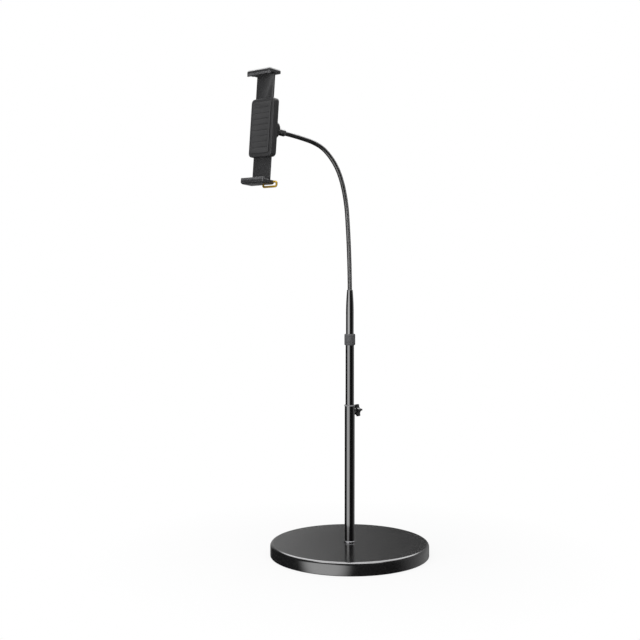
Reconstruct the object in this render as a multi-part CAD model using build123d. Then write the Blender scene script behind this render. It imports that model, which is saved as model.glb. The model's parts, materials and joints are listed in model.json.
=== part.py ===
from build123d import *
import math
import os

# Adjustable floor stand: a round weighted base, a two-piece pole with a clamp knob,
# a flexible neck and a two-jaw holder on a ball joint.
# Millimetres. Origin at the centre of the base on the floor, +Z up, the holder faces -Y.

# Shared clearances
running_gap = 0.05  # radial gap of a shaft that turns or slides in its hole
ball_gap = 0.15  # gap between two ball-shaped faces that move
loose_gap = 0.3  # gap between pieces that pass each other
overrun = 1.0  # how far a cutter reaches past the wall that it cuts
upright = (Align.CENTER, Align.CENTER, Align.MIN)
hexagon_sides = 6

# Base
base_radius = 150.0
base_height = 25.2
base_edge_radius = 6.0
base_wall = 1.5
floor_gap = 1.2  # height of the cover's lower rim above the floor
weight_radius = 120.0
weight_thickness = 9.0
weight_foot_radius = 7.0
plate_thickness = 1.5
plate_side_gap = 0.4
mat_thickness = 3.0
mat_inset = 2.0
mat_round = 0.8
mat_pocket_depth = 1.9
plate_screw_count = 6
plate_screw_circle = 96.0
plate_screw_radius = 2.0
plate_screw_head_radius = 4.0
plate_screw_head_height = 1.6
plate_screw_length = 14.0

# Centre bolt that clamps the pole, the cover and the weight together
bolt_radius = 4.0
bolt_hole_radius = 4.3
bolt_head_radius = 6.5
bolt_head_height = 5.0
bolt_grip = 16.0  # thread above the cover
washer_radius = 12.0
washer_thickness = 1.5

# Lower tube with its foot
lower_tube_radius = 9.5
lower_tube_wall = 1.2
lower_tube_length = 258.4
pole_socket_length = 22.0
pole_socket_roof = 4.0
foot_trim_radius = 11.6
foot_trim_height = 3.0
foot_trim_round = 1.2

# Guide bush in the mouth of the lower tube
bush_lip_radius = 10.4
bush_lip_height = 2.0
bush_lip_round = 0.7
bush_length = 30.0

# Clamp knob on the back of the lower tube
knob_drop = 12.2  # below the mouth of the lower tube
boss_radius = 6.0
boss_reach = 4.0  # out of the tube's wall
clamp_screw_radius = 3.0
clamp_tip_radius = 2.2
clamp_tip_length = 3.0
knob_gap = 1.4  # between the boss and the knob
knob_radius = 11.75
knob_thickness = 9.0
knob_lobes = 5
knob_turn = 44.0  # degrees, how far its lobes stand from straight down
knob_notch_radius = 6.0
knob_notch_circle = 13.2
knob_corner_round = 1.1
knob_face_round = 1.0
knob_hub_radius = 5.0
knob_hub_height = 1.2
screw_depth_in_knob = 7.0

# Upper tube, its glide at the lower end and its plug at the top
upper_tube_radius = 8.0
upper_tube_wall = 1.0
upper_tube_insertion = 113.0
upper_tube_showing = 112.6  # between the bush and the swivel nut
glide_collar_length = 12.0
glide_plug_length = 14.0
glide_bore_radius = 4.0
plug_stem_length = 20.0
plug_thread_radius = 8.6
plug_thread_length = 10.5
plug_bore_radius = 4.0

# Swivel nut, which clamps the neck's sleeve on the plug
nut_radius = 10.2
nut_height = 21.0
nut_skirt = 2.5  # how far the nut reaches down over the tube's end
nut_lip_height = 4.2
nut_rib_count = 40
nut_rib_depth = 0.45
nut_chamfer = 1.2

# Tapered sleeve at the foot of the neck
sleeve_radius = 7.3
sleeve_mid_radius = 6.8
sleeve_top_radius = 5.4
sleeve_showing = 82.5  # above the swivel nut
sleeve_taper_share = 0.48  # of the showing length, where the taper starts
sleeve_mid_share = 0.77  # of the showing length, on the curve of the taper
sleeve_flange_radius = 8.4
sleeve_flange_thickness = 2.6
sleeve_hollow_radius = 5.6
sleeve_face_gap = 0.2

# Flexible neck: a ribbed metal hose in links over a core wire
neck_radius = 4.25
neck_groove_radius = 3.65
neck_bore_radius = 2.45
neck_rib_pitch = 2.12
neck_seat = 20.0  # length of hose inside the sleeve
neck_length = 394.0
neck_turn = 85.0  # degrees from upright to the holder's end
neck_length_shares = (139, 51, 28, 27, 27, 22, 29, 71)
neck_turn_shares = (6.5, 11.0, 12.5, 13.5, 14.0, 14.0, 10.5, 3.0)
rib_shares = (0, 0.22, 0.62, 0.84)  # of the pitch: foot, crest start, crest end, foot
ribs_per_bore_step = 3
link_gap = 1.0
core_radius = 2.05
core_ball_radius = 2.25
core_ball_gap = 0.75

# Ferrule and ball stud at the end of the neck, measured from the ball's centre
ball_radius = 8.5
stud_radius = 3.0
stud_hex_width = 10.4
stud_hex_near = 14.5
stud_hex_length = 3.5
ferrule_radius = 6.1
ferrule_length = 16.0
ferrule_round = 1.0
hose_end_reach = 22.0

# Socket of the ball joint
socket_shell = 1.6
cup_rim_reach = 4.0  # in front of the ball's centre
ring_near_reach = 0.5  # behind the ball's centre
ring_far_reach = 5.3
boss_thread_radius = 13.5
boss_near_reach = 1.5
lock_nut_radius = 17.0
lock_nut_front_reach = 8.7
lock_nut_back_reach = 8.4
lock_nut_mouth_radius = 7.9
lock_nut_flute_count = 14
lock_nut_flute_radius = 1.9
lock_nut_flute_depth = 0.9
lock_nut_round = 1.2

# Holder housing, measured from the ball's centre, front at -Y
housing_width = 56.0
housing_height = 100.0
housing_corner_radius = 7.0
housing_back = 9.0
housing_back_wall = 3.1
housing_round = 1.5
lid_thickness = 3.0
back_pad_thickness = 1.5
back_pad_margin = 6.0
back_pad_rib_count = 9
back_pad_rib_depth = 0.6
end_stop_thickness = 1.7

# Jaws
stem_width = 42.0
stem_thickness = 2.8
layer_gap = 0.3
stem_overlap = 24.0  # past the ball's height inside the housing
grip_height = 178.0  # between the pads in the photographed place
jaw_width = 57.0
jaw_thickness = 7.0
jaw_corner_radius = 3.0
jaw_chamfer = 2.6
grip_depth = 10.0
lip_thickness = 3.5
lip_overlap = 1.5
jaw_pad_thickness = 2.0
jaw_pad_side_margin = 3.0
jaw_pad_end_margin = 1.0
jaw_pad_rib_count = 5
jaw_pad_rib_depth = 0.7

# Rack and pinion that centre the jaws
gear_module = 1.0
pinion_teeth = 12
tooth_tip_height = 0.85
tooth_root_depth = 1.15
tooth_half_width = 0.66  # on the pitch line
tooth_tip_half_width = 0.3
rack_root_half_width = 1.05
pinion_root_half_width = 0.72
pinion_pin_radius = 2.0
pinion_side_gap = 0.9
friction_washer_radius = 5.5
friction_washer_thickness = 0.25

# Housing screws
housing_screw_radius = 1.3
housing_screw_head_radius = 2.4
housing_screw_head_height = 1.4
housing_screw_side = 3.6  # in from the housing's side
housing_screw_end = 12.0  # in from the housing's end
housing_screw_bite = 2.0  # into the lid

# Wire loop at the side of the lower jaw, measured from the jaw
loop_wire_radius = 1.8
loop_reach = 7.6  # past the jaw's side
loop_height = 8.2
loop_inset = 3.0  # in front of the jaw's back face
loop_top_inset = 2.2  # under the jaw's pad face
loop_top_side = 19.0
loop_low_side = 4.0
loop_bend_radius = 2.6
loop_anchor = 3.0

# Places worked out from the sizes
cover_roof = base_height - base_wall
weight_low = cover_roof - weight_thickness
plate_top = mat_thickness + plate_thickness
lower_tube_bore = lower_tube_radius - lower_tube_wall
lower_tube_top = base_height + lower_tube_length
bush_top = lower_tube_top + bush_lip_height
knob_height = bush_top - knob_drop
boss_end = lower_tube_radius + boss_reach
knob_near = boss_end + knob_gap
upper_tube_bore = upper_tube_radius - upper_tube_wall
nut_low = bush_top + upper_tube_showing
nut_top = nut_low + nut_height
upper_tube_top = nut_low + nut_skirt
upper_tube_low = bush_top - upper_tube_insertion
plug_top = upper_tube_top + plug_thread_length
sleeve_low = plug_top + sleeve_face_gap
nut_lip_low = nut_top - nut_lip_height
sleeve_top = nut_top + sleeve_showing
nut_thread_radius = plug_thread_radius + running_gap

layer_back = housing_back + housing_back_wall
rear_stem_back = layer_back + layer_gap
front_stem_back = rear_stem_back + stem_thickness + layer_gap
lid_back = front_stem_back + stem_thickness + layer_gap
lid_front = lid_back + lid_thickness
grip_back = lid_front + back_pad_thickness
lip_back = grip_back + grip_depth
jaw_front = lip_back + lip_thickness
jaw_depth = jaw_front - housing_back
pad_face = grip_height / 2
jaw_low = pad_face + jaw_pad_thickness
jaw_top = jaw_low + jaw_thickness
pitch_radius = gear_module * pinion_teeth / 2
rack_root = pitch_radius + tooth_root_depth
rack_tip = pitch_radius - tooth_tip_height
pinion_tip = pitch_radius + tooth_tip_height
pinion_root = pitch_radius - tooth_root_depth
tooth_pitch = math.pi * gear_module


def disc(radius, low, high):
    """An upright cylinder between two heights."""
    return Pos(0, 0, low) * Cylinder(radius, high - low, align=upright)


def ring(outer, inner, low, high):
    """An upright tube between two heights."""
    return disc(outer, low, high) - disc(inner, low - overrun, high + overrun)


def along_y(radius, near, far):
    """A cylinder along Y between two places."""
    return Pos(0, near, 0) * Rot(-90, 0, 0) * Cylinder(radius, far - near, align=upright)


def panel(sketch, back, front):
    """A flat piece drawn in X and Z, from its back face at y = -back to y = -front."""
    return Pos(0, -back, 0) * extrude(Plane.XZ * sketch, amount=front - back)


def around(count):
    """The turned places of a ring of like features about Z."""
    return [Rot(0, 0, 360 * i / count) for i in range(count)]


def outline(points):
    """A closed flat face through corner points in X and Y."""
    return make_face(Polyline(points, close=True))


# Base pieces


def base_cover():
    """Pressed shell with a rounded top edge and a hole for the centre bolt."""
    outer = disc(base_radius, floor_gap, base_height)
    outer = fillet(outer.edges().group_by(Axis.Z)[-1], base_edge_radius)
    inner = disc(base_radius - base_wall, floor_gap - overrun, cover_roof)
    inner = fillet(inner.edges().group_by(Axis.Z)[-1], base_edge_radius - base_wall)
    return outer - inner - disc(bolt_hole_radius, cover_roof - overrun, base_height + overrun)


def base_weight():
    """Cast disc with feet that the bottom plate is screwed to."""
    body = disc(weight_radius, weight_low, cover_roof)
    foot = Pos(plate_screw_circle, 0, 0) * disc(weight_foot_radius, plate_top, weight_low + overrun)
    hole_top = plate_top + plate_screw_length
    hole = Pos(plate_screw_circle, 0, 0) * disc(plate_screw_radius, plate_top - overrun, hole_top)
    for place in around(plate_screw_count):
        body = body + place * foot
    for place in around(plate_screw_count):
        body = body - place * hole
    return body - disc(bolt_hole_radius, weight_low - overrun, cover_roof + overrun)


def bottom_plate():
    """Sheet disc that closes the base, with screw holes."""
    plate = disc(base_radius - base_wall - plate_side_gap, mat_thickness, plate_top)
    hole = Pos(plate_screw_circle, 0, 0) * disc(plate_screw_radius, 0, plate_top + overrun)
    for place in around(plate_screw_count):
        plate = plate - place * hole
    return plate


def plate_screws():
    """Pan-head screws up into the weight's feet."""
    low = mat_thickness - plate_screw_head_height
    head = disc(plate_screw_head_radius, low, mat_thickness)
    shank = disc(plate_screw_radius, mat_thickness, plate_top + plate_screw_length - overrun)
    screw = Pos(plate_screw_circle, 0, 0) * (head + shank)
    return Compound(children=[place * screw for place in around(plate_screw_count)])


def foot_mat():
    """Rubber mat under the base, with pockets for the screw heads."""
    mat = disc(base_radius - base_wall - mat_inset, 0, mat_thickness)
    mat = fillet(mat.edges().group_by(Axis.Z)[0], mat_round)
    pocket_radius = plate_screw_head_radius + loose_gap
    pocket = disc(pocket_radius, mat_thickness - mat_pocket_depth, mat_thickness + overrun)
    for place in around(plate_screw_count):
        mat = mat - place * Pos(plate_screw_circle, 0, 0) * pocket
    return mat


def centre_bolt():
    """Hexagon-head bolt up through the weight and the cover into the pole's foot."""
    top = weight_low - washer_thickness
    hexagon = RegularPolygon(bolt_head_radius, hexagon_sides)
    head = extrude(Pos(0, 0, top - bolt_head_height) * hexagon, bolt_head_height)
    return head + disc(bolt_radius, top - overrun, base_height + bolt_grip)


def bolt_washer():
    """Plain washer under the bolt's head."""
    return ring(washer_radius, bolt_radius + running_gap, weight_low - washer_thickness, weight_low)


# Pole pieces


def pole_socket():
    """Threaded plug in the foot of the lower tube."""
    plug = disc(lower_tube_bore, base_height, base_height + pole_socket_length)
    bore_top = base_height + pole_socket_length - pole_socket_roof
    return plug - disc(bolt_radius + running_gap, base_height - overrun, bore_top)


def foot_trim():
    """Polished ring round the pole's foot."""
    trim = ring(foot_trim_radius, lower_tube_radius, base_height, base_height + foot_trim_height)
    outer_edge = trim.edges().group_by(Axis.Z)[-1].sort_by(SortBy.RADIUS)[-1]
    return fillet(outer_edge, foot_trim_round)


def lower_tube():
    """Straight tube with a cross hole for the clamp screw's boss."""
    tube = ring(lower_tube_radius, lower_tube_bore, base_height, lower_tube_top)
    hole = along_y(clamp_screw_radius + loose_gap, 0, lower_tube_radius + overrun)
    return tube - Pos(0, 0, knob_height) * hole


def guide_bush():
    """Plastic bush that guides the upper tube, with a lip on the tube's mouth."""
    bore = upper_tube_radius + running_gap
    sleeve = ring(lower_tube_bore, bore, bush_top - bush_length, lower_tube_top)
    lip = ring(bush_lip_radius, bore, lower_tube_top, bush_top)
    top_edge = lip.edges().group_by(Axis.Z)[-1].sort_by(SortBy.RADIUS)[-1]
    lip = fillet(top_edge, bush_lip_round)
    hole = along_y(clamp_screw_radius + loose_gap, 0, lower_tube_radius)
    return sleeve + lip - Pos(0, 0, knob_height) * hole


def knob_boss():
    """Threaded boss welded on the back of the lower tube."""
    boss = Pos(0, 0, knob_height) * along_y(boss_radius, lower_tube_radius / 2, boss_end)
    bore = Pos(0, 0, knob_height) * along_y(clamp_screw_radius + running_gap, 0, boss_end + overrun)
    tube = disc(lower_tube_radius, knob_height - knob_radius, knob_height + knob_radius)
    return boss - tube - bore


def knob_grip():
    """Star knob with scooped sides between its lobes."""
    face = Circle(knob_radius)
    scoop = Pos(knob_notch_circle, 0) * Circle(knob_notch_radius)
    for i in range(knob_lobes):
        face = face - Rot(0, 0, 360 * (i + 1 / 2) / knob_lobes) * scoop
    star = extrude(face, knob_thickness)
    star = fillet(star.edges().filter_by(Axis.Z), knob_corner_round)
    star = fillet(star.edges().group_by(Axis.Z)[-1], knob_face_round)
    star = star + disc(knob_hub_radius, knob_thickness - overrun, knob_thickness + knob_hub_height)
    star = star - disc(clamp_screw_radius, -overrun, screw_depth_in_knob)
    return Pos(0, knob_near, knob_height) * Rot(0, 0, 90) * Rot(0, 90, 0) * Rot(0, 0, knob_turn) * star


def clamp_screw():
    """Steel screw moulded into the knob, through the boss to the upper tube."""
    near = upper_tube_radius + loose_gap + clamp_tip_length
    screw = along_y(clamp_screw_radius, near, knob_near + screw_depth_in_knob)
    return Pos(0, 0, knob_height) * screw


def clamp_tip():
    """Nylon tip that presses on the upper tube without marking it."""
    near = upper_tube_radius + loose_gap
    return Pos(0, 0, knob_height) * along_y(clamp_tip_radius, near, near + clamp_tip_length)


def upper_tube():
    """Sliding tube."""
    return ring(upper_tube_radius, upper_tube_bore, upper_tube_low, upper_tube_top)


def tube_glide():
    """Plastic plug with a collar that runs in the lower tube."""
    collar = disc(lower_tube_bore - running_gap, upper_tube_low - glide_collar_length, upper_tube_low)
    stem = disc(upper_tube_bore, upper_tube_low, upper_tube_low + glide_plug_length)
    low = upper_tube_low - glide_collar_length - overrun
    return collar + stem - disc(glide_bore_radius, low, upper_tube_low + glide_plug_length + overrun)


def tube_plug():
    """Threaded plug pressed into the top of the upper tube."""
    low = upper_tube_top - plug_stem_length
    stem = disc(upper_tube_bore, low, upper_tube_top)
    head = disc(plug_thread_radius, upper_tube_top, plug_top)
    return stem + head - disc(plug_bore_radius, low - overrun, plug_top + overrun)


def swivel_nut():
    """Ribbed collar nut that clamps the neck's flange on the plug."""
    points = []
    for i in range(nut_rib_count):
        for share, radius in ((0, nut_radius), (1 / 2, nut_radius - nut_rib_depth)):
            turn = 2 * math.pi * (i + share) / nut_rib_count
            points.append((radius * math.cos(turn), radius * math.sin(turn)))
    body = extrude(Pos(0, 0, nut_low) * outline(points), nut_height)
    bound = chamfer(disc(nut_radius, nut_low, nut_top).edges(), nut_chamfer)
    body = body & bound
    body = body - disc(nut_thread_radius, nut_low - overrun, nut_lip_low)
    return body - disc(sleeve_radius + running_gap, nut_lip_low - overrun, nut_top + overrun)


# Neck pieces


def neck_sleeve():
    """Tapered sleeve with a flange below and the hose's seat above."""
    flange_top = sleeve_low + sleeve_flange_thickness
    taper_foot = (sleeve_radius, nut_top + sleeve_showing * sleeve_taper_share)
    taper_mid = (sleeve_mid_radius, nut_top + sleeve_showing * sleeve_mid_share)
    tip = (sleeve_top_radius, sleeve_top)
    shoulder = (sleeve_radius, flange_top)
    flange = [(0, sleeve_low), (sleeve_flange_radius, sleeve_low), (sleeve_flange_radius, flange_top)]
    wall = [
        Line(shoulder, taper_foot),
        ThreePointArc(taper_foot, taper_mid, tip),
        Polyline(tip, (0, sleeve_top), *flange, shoulder),
    ]
    body = revolve(Plane.XZ * make_face(Curve() + wall), Axis.Z)
    seat_low = sleeve_top - neck_seat
    seat = disc(neck_radius + running_gap, seat_low, sleeve_top + overrun)
    hollow = disc(sleeve_hollow_radius, sleeve_low - overrun, seat_low - overrun)
    passage = disc(neck_bore_radius, seat_low - 2 * overrun, seat_low + overrun)
    return body - seat - hollow - passage


length_total = sum(neck_length_shares)
turn_total = sum(neck_turn_shares)
link_lengths = [neck_length * share / length_total for share in neck_length_shares]
link_turns = [math.radians(neck_turn * share / turn_total) for share in neck_turn_shares]
neck_runs = [(neck_seat, 0)] + list(zip(link_lengths, link_turns)) + [(hose_end_reach, 0)]
link_ends = [neck_seat + sum(link_lengths[: i + 1]) for i in range(len(link_lengths))]


def neck_place(distance):
    """Y, Z and lean from upright of the centreline at a distance from the hose's foot."""
    y, z, lean, left = 0, sleeve_top - neck_seat, 0, distance
    for length, turn in neck_runs:
        step = min(left, length)
        bend = turn * step / length
        if turn:
            arc_radius = length / turn
            y = y - arc_radius * (math.cos(lean) - math.cos(lean + bend))
            z = z + arc_radius * (math.sin(lean + bend) - math.sin(lean))
        else:
            y = y - step * math.sin(lean)
            z = z + step * math.cos(lean)
        lean = lean + bend
        left = left - step
    return y, z, lean


def neck_plane(distance):
    """The plane square to the centreline, with its X axis along the model's X."""
    y, z, lean = neck_place(distance)
    along = (0, -math.sin(lean), math.cos(lean))
    return Plane(origin=(0, y, z), x_dir=(1, 0, 0), z_dir=along)


def tube_through(stops):
    """A ruled tube through circles, each given as a distance and a radius."""
    return loft([neck_plane(distance) * Circle(radius) for distance, radius in stops], ruled=True)


def neck_hose(start, end):
    """One link of the ribbed hose, between two distances."""
    foot_share = rib_shares[-1]
    count = max(2, round((end - start) / neck_rib_pitch))
    pitch = (end - start) / (count - 1 + foot_share)
    radii = (neck_groove_radius, neck_radius, neck_radius, neck_groove_radius)
    stops = []
    for i in range(count):
        for share, radius in zip(rib_shares, radii):
            stops.append((start + pitch * (i + share), radius))
    steps = max(2, round(count / ribs_per_bore_step))
    bore = [(start + (end - start) * i / steps, neck_bore_radius) for i in range(steps + 1)]
    return tube_through(stops) - tube_through(bore)


def neck_core(start, end, ball_end):
    """The core wire of one link, with a ball where the next link bends."""
    steps = max(2, round((end - start) / neck_radius))
    wire = tube_through([(start + (end - start) * i / steps, core_radius) for i in range(steps + 1)])
    if ball_end:
        wire = wire + neck_plane(end) * Sphere(core_ball_radius)
    return wire


def neck_links():
    """Every hose link and core link from the foot up, by name."""
    pieces = {}
    starts = [0] + link_ends[:-1]
    last = len(link_ends)
    for i, (start, end) in enumerate(zip(starts, link_ends), 1):
        hose_start = start + link_gap / 2 if i > 1 else 0
        hose_end = end - link_gap / 2 if i < last else end
        core_start = start + core_ball_radius + core_ball_gap if i > 1 else 0
        pieces[f"neck_hose_{i}"] = neck_hose(hose_start, hose_end)
        pieces[f"neck_core_{i}"] = neck_core(core_start, end, i < last)
    return pieces


# Holder pieces, drawn about the ball's centre with the front at -Y

ball_y, ball_z, end_lean = neck_place(neck_seat + neck_length + hose_end_reach)
holder_tilt = 90 - math.degrees(end_lean)
holder_place = Location((0, ball_y, ball_z), (-holder_tilt, 0, 0))


def neck_ferrule():
    """Turned ferrule that joins the hose to the ball stud."""
    near = stud_hex_near + stud_hex_length
    body = along_y(ferrule_radius, near, near + ferrule_length)
    body = fillet(body.edges().group_by(Axis.Y)[-1], ferrule_round)
    return body - along_y(neck_radius + running_gap, near - overrun, near + ferrule_length + overrun)


def ball_stud():
    """Steel ball on a shank with a hexagon and a spigot."""
    ball = Sphere(ball_radius)
    far = stud_hex_near + stud_hex_length
    shank = along_y(stud_radius, 0, stud_hex_near)
    hexagon = extrude(Plane.XZ * RegularPolygon(stud_hex_width / 2, hexagon_sides), stud_hex_length)
    spigot = along_y(neck_radius, far, hose_end_reach)
    return ball + shank + Pos(0, far, 0) * hexagon + spigot


def socket_zone(front, back):
    """The part of the socket's shell between two places along Y."""
    inner = ball_radius + ball_gap
    shell = Sphere(inner + socket_shell) - Sphere(inner)
    return shell & along_y(lock_nut_radius, front, back)


def ball_cup():
    """Front half of the socket's lining."""
    return socket_zone(-ball_radius - socket_shell - overrun, -cup_rim_reach)


def grip_ring():
    """Rear ring of the socket's lining, which the lock nut presses."""
    return socket_zone(ring_near_reach, ring_far_reach)


socket_radius = ball_radius + ball_gap + socket_shell + ball_gap


def lock_nut():
    """Fluted nut on the housing's boss that clamps the ball."""
    nut = along_y(lock_nut_radius, -lock_nut_front_reach, lock_nut_back_reach)
    nut = fillet(nut.edges().group_by(Axis.Y)[-1], lock_nut_round)
    near = -lock_nut_front_reach - overrun
    far = lock_nut_back_reach + overrun
    nut = nut - along_y(boss_thread_radius + running_gap, near, -boss_near_reach + loose_gap)
    nut = nut - Sphere(socket_radius) - along_y(lock_nut_mouth_radius, 0, far)
    side = lock_nut_radius + lock_nut_flute_radius - lock_nut_flute_depth
    flute = Pos(side, 0, 0) * along_y(lock_nut_flute_radius, near, far)
    for i in range(lock_nut_flute_count):
        nut = nut - Rot(0, 360 * i / lock_nut_flute_count, 0) * flute
    return nut


def screw_places():
    """Where the four housing screws stand, in X and Z."""
    x = housing_width / 2 - housing_screw_side
    z = housing_height / 2 - housing_screw_end
    return [(x, z), (-x, z), (x, -z), (-x, -z)]


def rear_housing():
    """Tray with the ball's socket behind and the channel of the jaws in front."""
    face = RectangleRounded(housing_width, housing_height, housing_corner_radius)
    body = panel(face, housing_back, lid_back)
    body = fillet(body.edges().group_by(Axis.Y)[-1], housing_round)
    body = body + along_y(boss_thread_radius, -housing_back - overrun, -boss_near_reach)
    channel_width = stem_width + 2 * loose_gap
    inside = Rectangle(channel_width, housing_height - 2 * end_stop_thickness)
    body = body - panel(inside, layer_back, lid_back + overrun)
    up_mouth = Pos(0, housing_height / 2) * Rectangle(channel_width, housing_height / 2)
    body = body - panel(up_mouth, front_stem_back - layer_gap / 2, lid_back + overrun)
    down_mouth = Pos(0, -housing_height / 2) * Rectangle(channel_width, housing_height / 2)
    body = body - panel(down_mouth, layer_back, lid_back - stem_thickness - layer_gap - layer_gap / 2)
    body = body - Sphere(socket_radius)
    behind = -housing_back + overrun
    hole = along_y(housing_screw_radius, -lid_back - overrun, behind)
    recess = along_y(housing_screw_head_radius, -housing_back - housing_screw_head_height, behind)
    for x, z in screw_places():
        body = body - Pos(x, 0, z) * (hole + recess)
    return body


def front_lid():
    """Cover over the channel, with a pin hole for the pinion."""
    face = RectangleRounded(housing_width, housing_height, housing_corner_radius)
    body = panel(face, lid_back, lid_front)
    body = fillet(body.edges().group_by(Axis.Y)[0], housing_round)
    hole = along_y(housing_screw_radius, -lid_back - housing_screw_bite, -lid_back + overrun)
    for x, z in screw_places():
        body = body - Pos(x, 0, z) * hole
    return body


def back_pad():
    """Ribbed rubber pad on the housing's front."""
    width = housing_width - 2 * back_pad_margin
    height = housing_height - 2 * back_pad_margin
    corner = housing_corner_radius / 2
    pad = panel(RectangleRounded(width, height, corner), lid_front, grip_back)
    pitch = height / back_pad_rib_count
    for i in range(1, back_pad_rib_count):
        z = height / 2 - pitch * i
        groove = Pos(0, z) * Rectangle(width - 2 * corner, 2 * back_pad_rib_depth)
        pad = pad - panel(groove, grip_back - back_pad_rib_depth, grip_back + overrun)
    return pad


def housing_screws():
    """Four screws from the back of the housing into its lid."""
    screws = []
    head_front = housing_back + housing_screw_head_height
    for x, z in screw_places():
        head = along_y(housing_screw_head_radius - loose_gap, -head_front, -housing_back)
        shank = along_y(housing_screw_radius, -lid_back - housing_screw_bite, -head_front)
        screws.append(Pos(x, 0, z) * (head + shank))
    return Compound(children=screws)


def gear_tooth(root_line, pitch_line, tip_line, root_half_width):
    """A straight-sided tooth that stands along X from a root line to a tip line."""
    half = [
        (root_line, root_half_width),
        (pitch_line, tooth_half_width),
        (tip_line, tooth_tip_half_width),
    ]
    return outline(half + [(x, -z) for x, z in reversed(half)])


def pinion():
    """Small gear between the two racks."""
    root = math.sqrt(pinion_root**2 - pinion_root_half_width**2)
    face = Circle(pinion_root)
    tooth = gear_tooth(root - tooth_tip_half_width, pitch_radius, pinion_tip, pinion_root_half_width)
    for i in range(pinion_teeth):
        face = face + Rot(0, 0, 360 * (i + 1 / 2) / pinion_teeth) * tooth
    face = face - Circle(pinion_pin_radius + running_gap)
    return panel(face, rear_stem_back, lid_back - 2 * layer_gap)


def pinion_pin():
    """Fixed pin that carries the pinion, from the housing's back wall to its lid."""
    return along_y(pinion_pin_radius, -lid_back, -layer_back)


def friction_washer():
    """Thin washer that keeps the pinion from turning by itself."""
    face = Circle(friction_washer_radius) - Circle(pinion_pin_radius + running_gap)
    return panel(face, lid_back - friction_washer_thickness, lid_back)


def jaw(stem_back, turn):
    """One jaw drawn as the upper one: its stem with a rack, its ledge and its lip."""
    stem_height = jaw_low + stem_overlap + overrun
    face = Pos(0, (jaw_low + overrun - stem_overlap) / 2) * Rectangle(stem_width, stem_height)
    slot_top = stem_overlap + pinion_tip + pinion_side_gap
    slot_low = -stem_overlap - overrun
    slot_right = pinion_tip + pinion_side_gap
    slot_size = (rack_root + slot_right, slot_top - slot_low)
    slot = Pos((slot_right - rack_root) / 2, (slot_top + slot_low) / 2) * Rectangle(*slot_size)
    face = face - slot
    tooth = gear_tooth(-rack_root - tooth_tip_half_width, -pitch_radius, -rack_tip, rack_root_half_width)
    teeth_below = math.floor((stem_overlap - rack_root_half_width) / tooth_pitch)
    teeth_above = math.floor((slot_top - rack_root_half_width) / tooth_pitch)
    for i in range(-teeth_below, teeth_above + 1):
        face = face + Pos(0, tooth_pitch * i) * tooth
    stem = panel(face, stem_back, stem_back + stem_thickness)
    plan = Pos(0, -housing_back - jaw_depth / 2) * RectangleRounded(jaw_width, jaw_depth, jaw_corner_radius)
    ledge = extrude(Pos(0, 0, jaw_low) * plan, jaw_thickness)
    ledge = chamfer(ledge.edges().group_by(Axis.Z)[-1], jaw_chamfer)
    lip_low = pad_face - lip_overlap
    lip = extrude(Pos(0, 0, lip_low) * plan, jaw_low - lip_low)
    behind = Box(jaw_width + overrun, 2 * jaw_depth, jaw_low)
    lip = lip - Pos(0, -lip_back + jaw_depth, jaw_low) * behind
    return Rot(0, turn, 0) * (stem + ledge + lip)


def jaw_pad(turn):
    """Ribbed rubber pad on the grip face of a jaw."""
    width = jaw_width - 2 * jaw_pad_side_margin
    depth = grip_depth - 2 * jaw_pad_end_margin
    middle = -(grip_back + lip_back) / 2
    pad = Pos(0, middle, pad_face) * Box(width, depth, jaw_pad_thickness, align=upright)
    pitch = depth / jaw_pad_rib_count
    groove = Box(width + overrun, jaw_pad_rib_depth, jaw_pad_rib_depth + overrun)
    for i in range(1, jaw_pad_rib_count):
        y = middle - depth / 2 + pitch * i
        pad = pad - Pos(0, y, pad_face - overrun / 2 + jaw_pad_rib_depth / 2) * groove
    return Rot(0, turn, 0) * pad


def loop_path():
    """The bent line of the wire loop at the side of the lower jaw."""
    top = -pad_face - jaw_pad_thickness - loop_top_inset
    low = top - loop_height
    side = jaw_width / 2 + loop_reach
    y = -housing_back - loop_inset
    points = [
        (loop_top_side, y, top),
        (side, y, top),
        (side, y, low),
        (loop_low_side, y, low),
        (loop_low_side, y, -jaw_top + loop_anchor),
    ]
    bend = loop_bend_radius
    wide = loop_height / 2 - loop_wire_radius / 2
    return FilletPolyline(*points, radius=[wide, wide, bend])


def wire_loop():
    """Bent wire loop with both ends set in the lower jaw."""
    path = loop_path()
    section = Plane(origin=path @ 0, z_dir=path % 0) * Circle(loop_wire_radius)
    return sweep(section, path)


def lower_jaw():
    """Lower jaw with the two holes of the wire loop."""
    return jaw(rear_stem_back, 180) - wire_loop()


def holder_pieces():
    """Every holder piece in its own frame, by name."""
    return {
        "neck_ferrule": neck_ferrule(),
        "ball_stud": ball_stud(),
        "ball_cup": ball_cup(),
        "grip_ring": grip_ring(),
        "lock_nut": lock_nut(),
        "rear_housing": rear_housing(),
        "front_lid": front_lid(),
        "back_pad": back_pad(),
        "housing_screws": housing_screws(),
        "pinion": pinion(),
        "pinion_pin": pinion_pin(),
        "friction_washer": friction_washer(),
        "upper_jaw": jaw(front_stem_back, 0),
        "upper_jaw_pad": jaw_pad(0),
        "lower_jaw": lower_jaw(),
        "lower_jaw_pad": jaw_pad(180),
        "wire_loop": wire_loop(),
    }


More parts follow.
